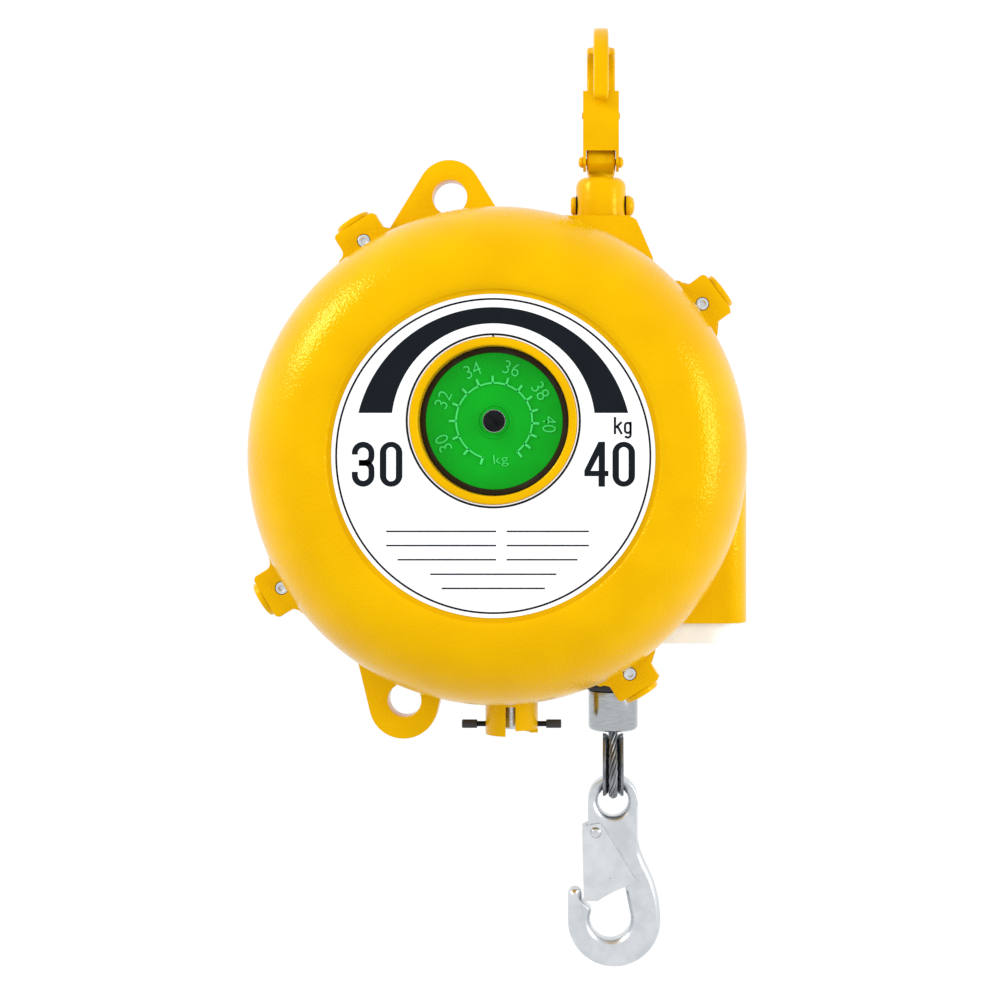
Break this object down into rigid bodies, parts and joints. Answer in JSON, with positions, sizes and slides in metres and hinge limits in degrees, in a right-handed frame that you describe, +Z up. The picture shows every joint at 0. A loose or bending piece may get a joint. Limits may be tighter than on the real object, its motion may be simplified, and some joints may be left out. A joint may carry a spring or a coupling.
{
  "type": "tool spring balancer",
  "caption": "Round spring balancer with a dial, hung on a safety hook, with a wire rope leading to a load hook with a spring latch.",
  "frame": {"origin": "lowest touching line of the bar in the top hook's bowl, at the middle of the hook's thickness", "axes": "+Z up the hanging direction, dial faces -Y, +X to the right as seen from the dial side"},
  "size_m": [0.2762, 0.16, 0.5329],
  "materials": {
    "yellow_casting": "gloss yellow powder coat over an aluminium casting",
    "yellow_paint": "gloss powder coat",
    "label_white": "printed film",
    "green_dial": "moulded",
    "nylon_white": "moulded",
    "black_rubber": "moulded",
    "black_plastic": "moulded",
    "zinc_steel": "zinc plated",
    "forged_steel": "forged, zinc plated",
    "dark_steel": "blackened",
    "machined_steel": "turned",
    "spring_steel": "rolled",
    "rope_steel": "stranded wire",
    "cast_aluminium": "cast",
    "ferrule_aluminium": "pressed",
    "bronze": "turned"
  },
  "bodies": {
    "suspension": {"top_hook": "yellow_paint", "top_latch_rivet": "yellow_paint"},
    "top_gate": {"top_latch": "yellow_paint"},
    "swivel": {"yoke": "yellow_paint", "yoke_pin": "yellow_paint", "yoke_pin_washers": "dark_steel", "swivel_washer": "machined_steel", "swivel_nut": "machined_steel"},
    "casing": {"front_cover": "yellow_casting", "drum_housing": "yellow_casting", "rope_guide": "nylon_white", "lug_screws": "zinc_steel", "lug_buttons": "yellow_paint", "front_label": "label_white", "front_bush": "bronze", "rear_bush": "bronze", "dial_seal": "black_plastic", "gear_cover": "yellow_casting", "gear_cover_screws": "zinc_steel", "worm_bushes": "bronze"},
    "tension_set": {"main_shaft": "machined_steel", "tension_dial": "green_dial", "dial_screw": "dark_steel", "worm_wheel": "bronze", "spring_arbor": "machined_steel", "shaft_keys": "machined_steel", "shaft_clips": "spring_steel", "front_bearing_inner": "machined_steel", "rear_bearing_inner": "machined_steel"},
    "worm_screw": {"worm": "machined_steel"},
    "drum_group": {"front_bearing_outer": "machined_steel", "rear_bearing_outer": "machined_steel", "spring_case": "cast_aluminium", "spring_lid": "cast_aluminium", "mainspring": "spring_steel", "rope_drum": "cast_aluminium", "drum_bolts": "zinc_steel", "wound_rope": "rope_steel"},
    "rope_end": {"wire_rope": "rope_steel", "rope_bumper": "black_rubber", "rope_ferrule": "ferrule_aluminium", "thimble": "zinc_steel"},
    "load_hook_set": {"load_hook": "forged_steel", "load_latch_rivet": "zinc_steel"},
    "load_gate": {"load_latch": "zinc_steel"},
    "lock_pin": {"lock_plunger": "machined_steel", "lock_spring": "spring_steel", "lock_cross_pin": "zinc_steel", "lock_pin_caps": "black_rubber"}
  },
  "joints": [
    {"name": "top_latch_hinge", "type": "hinge", "parent": "suspension", "child": "top_gate", "pos_m": [0, -0.0083, -0.0622], "axis": [-1, 0, 0], "range_deg": [0, 30], "stiffness_Nm_per_rad": 0.03, "springref_deg": -10},
    {"name": "hook_swing", "type": "hinge", "parent": "suspension", "child": "swivel", "pos_m": [0, 0.0016, -0.0854], "axis": [1, 0, 0], "range_deg": [-8, 8]},
    {"name": "casing_swivel", "type": "hinge", "parent": "swivel", "child": "casing", "pos_m": [0, 0.0016, -0.0927], "axis": [0, 0, 1], "continuous": true},
    {"name": "tension_setting", "type": "hinge", "parent": "casing", "child": "tension_set", "pos_m": [-0.0563, -0.0114, -0.2087], "axis": [0, 1, 0], "range_deg": [-95.2, 111.5]},
    {"name": "worm_turn", "type": "hinge", "parent": "casing", "child": "worm_screw", "pos_m": [-0.1083, 0.0641, -0.2087], "axis": [0, 0, 1], "range_deg": [-6700, 5720]},
    {"name": "drum_spin", "type": "hinge", "parent": "casing", "child": "drum_group", "pos_m": [-0.0563, -0.0114, -0.2087], "axis": [0, 1, 0], "range_deg": [0, 1836], "stiffness_Nm_per_rad": 0.4, "springref_deg": -2860},
    {"name": "rope_travel", "type": "slide", "parent": "casing", "child": "rope_end", "axis": [0, 0, -1], "range_m": [0, 2.5]},
    {"name": "load_hook_swing", "type": "hinge", "parent": "rope_end", "child": "load_hook_set", "pos_m": [0.0069, 0.0106, -0.4238], "axis": [0, 1, 0], "range_deg": [-30, 30]},
    {"name": "load_latch_hinge", "type": "hinge", "parent": "load_hook_set", "child": "load_gate", "pos_m": [-0.003, 0.0106, -0.4407], "axis": [0, -1, 0], "range_deg": [0, 30], "stiffness_Nm_per_rad": 0.03, "springref_deg": -10},
    {"name": "lock_pull", "type": "slide", "parent": "casing", "child": "lock_pin", "axis": [0, 0, -1], "range_m": [0, 0.005], "stiffness_N_per_m": 2000, "springref_m": -0.004, "deforming": ["lock_spring"]}
  ],
  "couplings": [
    {"joint": "worm_turn", "follows": "tension_setting", "ratio": -60},
    {"joint": "rope_travel", "follows": "drum_spin", "m_per_rad": 0.078}
  ]
}
